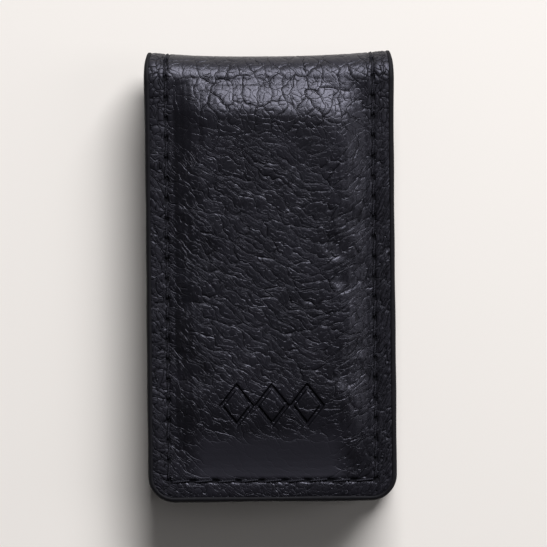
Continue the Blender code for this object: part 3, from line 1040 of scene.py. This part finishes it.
class MONEYCLIP_OT_stitching(Operator):
    """Sews the seam round both arms and over the fold, with its face and its back"""
    bl_idname = "money_clip.stitching"
    bl_label = "Stitching"

    def execute(self, context):
        leather, seam = context.scene.clip_leather, context.scene.clip_seam
        thread = black_thread()
        face = joined("face_stitches", seam_rows(seam, LEATHER_FACE - FACE_SUNK))
        edit(face, (bpy.ops.mesh.normals_make_consistent, {"inside": False}))
        finish_piece(face, ("front_face_stitches", "fold_face_stitches", "rear_face_stitches"), thread,
                     leather, LEATHER_BACK - 0.5 * MM,
                     {"front_face_stitches": ["front_needle_thread"],
                      "rear_face_stitches": ["rear_needle_thread"]})
        back = joined("back_stitches", seam_rows(seam, -BACK_SUNK))
        points = points_of(back) * np.array([1.0, 1.0, -1.0]) + np.array([0.0, 0.0, LINING_FACE])
        place_points(back, points)
        edit(back, (bpy.ops.mesh.normals_make_consistent, {"inside": False}))
        finish_piece(back, ("front_back_stitches", "fold_back_stitches", "rear_back_stitches"), thread,
                     leather, LINING_FACE - 0.5 * MM,
                     {"front_back_stitches": ["front_bobbin_thread"],
                      "rear_back_stitches": ["rear_bobbin_thread"]})
        return {"FINISHED"}


# ---------------------------------------------------------------- what lies inside

class MONEYCLIP_OT_core(Operator):
    """Gives the padding boards and the magnets inside the arms their finishes"""
    bl_idname = "money_clip.core"
    bl_label = "Padding and Magnets"

    def execute(self, context):
        board, nickel = fibre_board(), nickel_plate()
        for arm in ("front", "rear"):
            for kind, material in (("padding", board), ("magnet", nickel)):
                node = frame["nodes"][f"{arm}_{kind}"]
                for holder in node.material_slots:
                    holder.material = material
        return {"FINISHED"}


# ---------------------------------------------------------------- stage

KEY_PLACE, KEY_SIZE, KEY_COLOUR = (0.27, 0.78, 0.66), (0.70, 0.50), (1.0, 0.995, 0.985)
SIDE_PLACE, SIDE_SIZE, SIDE_COLOUR = (0.85, 0.05, 0.55), (0.4, 0.6), (1.0, 0.99, 0.98)
SIDE_SHARE = 0.06                   # of the key light's power
SURROUND = (1.0, 0.985, 0.975, 1.0)
CAMERA_X, CAMERA_Y = 0.45 * MM, 0.74 * MM


def area_light(name, place, size, power, colour):
    """A soft light that faces the clip."""
    light = bpy.data.lights.new(name, "AREA")
    light.shape = "RECTANGLE"
    light.size, light.size_y = size
    light.energy = power
    light.color = colour
    lamp = bpy.data.objects.new(name, light)
    lamp.location = place
    lamp.rotation_euler = (-Vector(place)).to_track_quat("-Z", "Y").to_euler()
    bpy.context.scene.collection.objects.link(lamp)


class MONEYCLIP_OT_stage(Operator):
    """Sets the pale floor, the soft studio light and the camera straight above the clip"""
    bl_idname = "money_clip.stage"
    bl_label = "Stage"

    def execute(self, context):
        scene, stage = context.scene, context.scene.clip_stage
        bpy.ops.object.select_all(action="DESELECT")
        bpy.ops.mesh.primitive_plane_add(size=4.0, location=(0.0, 0.0, CAD_BOX[0].z))
        floor = context.object
        floor.name = "floor"
        finish = Finish("pale_floor")
        mottle = finish.noise(finish.place(), 0.02, 2.0)
        shade = tuple(channel * 0.985 for channel in stage.floor)
        colour = finish.blend(mottle, tuple(stage.floor), shade)
        floor.data.materials.append(finish.surface(colour, 0.9))

        world = bpy.data.worlds.new("studio")
        world.use_nodes = True
        background = next(n for n in world.node_tree.nodes if n.type == "BACKGROUND")
        background.inputs["Color"].default_value = SURROUND
        background.inputs["Strength"].default_value = stage.fill
        scene.world = world
        area_light("key", KEY_PLACE, KEY_SIZE, stage.key, KEY_COLOUR)
        area_light("side", SIDE_PLACE, SIDE_SIZE, stage.key * SIDE_SHARE, SIDE_COLOUR)

        lens = bpy.data.cameras.new("camera")
        top = CAD_BOX[1].z
        lens.sensor_width = 36.0
        lens.lens = lens.sensor_width * (stage.height - top) / stage.field
        lens.clip_start = 0.01
        camera = bpy.data.objects.new("camera", lens)
        camera.location = (CAMERA_X, CAMERA_Y, stage.height)
        camera.rotation_euler = Euler((0.0, 0.0, -stage.roll))
        scene.collection.objects.link(camera)
        scene.camera = camera
        scene.view_settings.view_transform = "Standard"
        return {"FINISHED"}


# ---------------------------------------------------------------- add-on

OPERATORS = (MONEYCLIP_OT_leather, MONEYCLIP_OT_lining, MONEYCLIP_OT_edge_paint,
             MONEYCLIP_OT_stitching, MONEYCLIP_OT_core, MONEYCLIP_OT_stage)
SETTINGS = {"clip_leather": MoneyClipLeather, "clip_seam": MoneyClipSeam,
            "clip_stage": MoneyClipStage}


class MONEYCLIP_PT_panel(Panel):
    """Sizes and colours of the money clip, and the steps that make it"""
    bl_idname = "MONEYCLIP_PT_panel"
    bl_label = "Leather Money Clip"
    bl_space_type = "VIEW_3D"
    bl_region_type = "UI"
    bl_category = "Money Clip"

    def draw(self, context):
        for name in SETTINGS:
            group = getattr(context.scene, name)
            for setting in group.bl_rna.properties:
                if setting.identifier not in ("rna_type", "name"):
                    self.layout.prop(group, setting.identifier)
        for operator in OPERATORS:
            self.layout.operator(operator.bl_idname)


CLASSES = (*SETTINGS.values(), *OPERATORS, MONEYCLIP_PT_panel)


def register():
    for cls in CLASSES:
        bpy.utils.register_class(cls)
    for name, cls in SETTINGS.items():
        setattr(bpy.types.Scene, name, PointerProperty(type=cls))


def unregister():
    for name in SETTINGS:
        delattr(bpy.types.Scene, name)
    for cls in reversed(CLASSES):
        bpy.utils.unregister_class(cls)


def main():
    register()
    bpy.ops.money_clip.leather()
    bpy.ops.money_clip.lining()
    bpy.ops.money_clip.edge_paint()
    bpy.ops.money_clip.stitching()
    bpy.ops.money_clip.core()
    bpy.ops.money_clip.stage()
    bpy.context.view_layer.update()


if __name__ == "__main__":
    main()
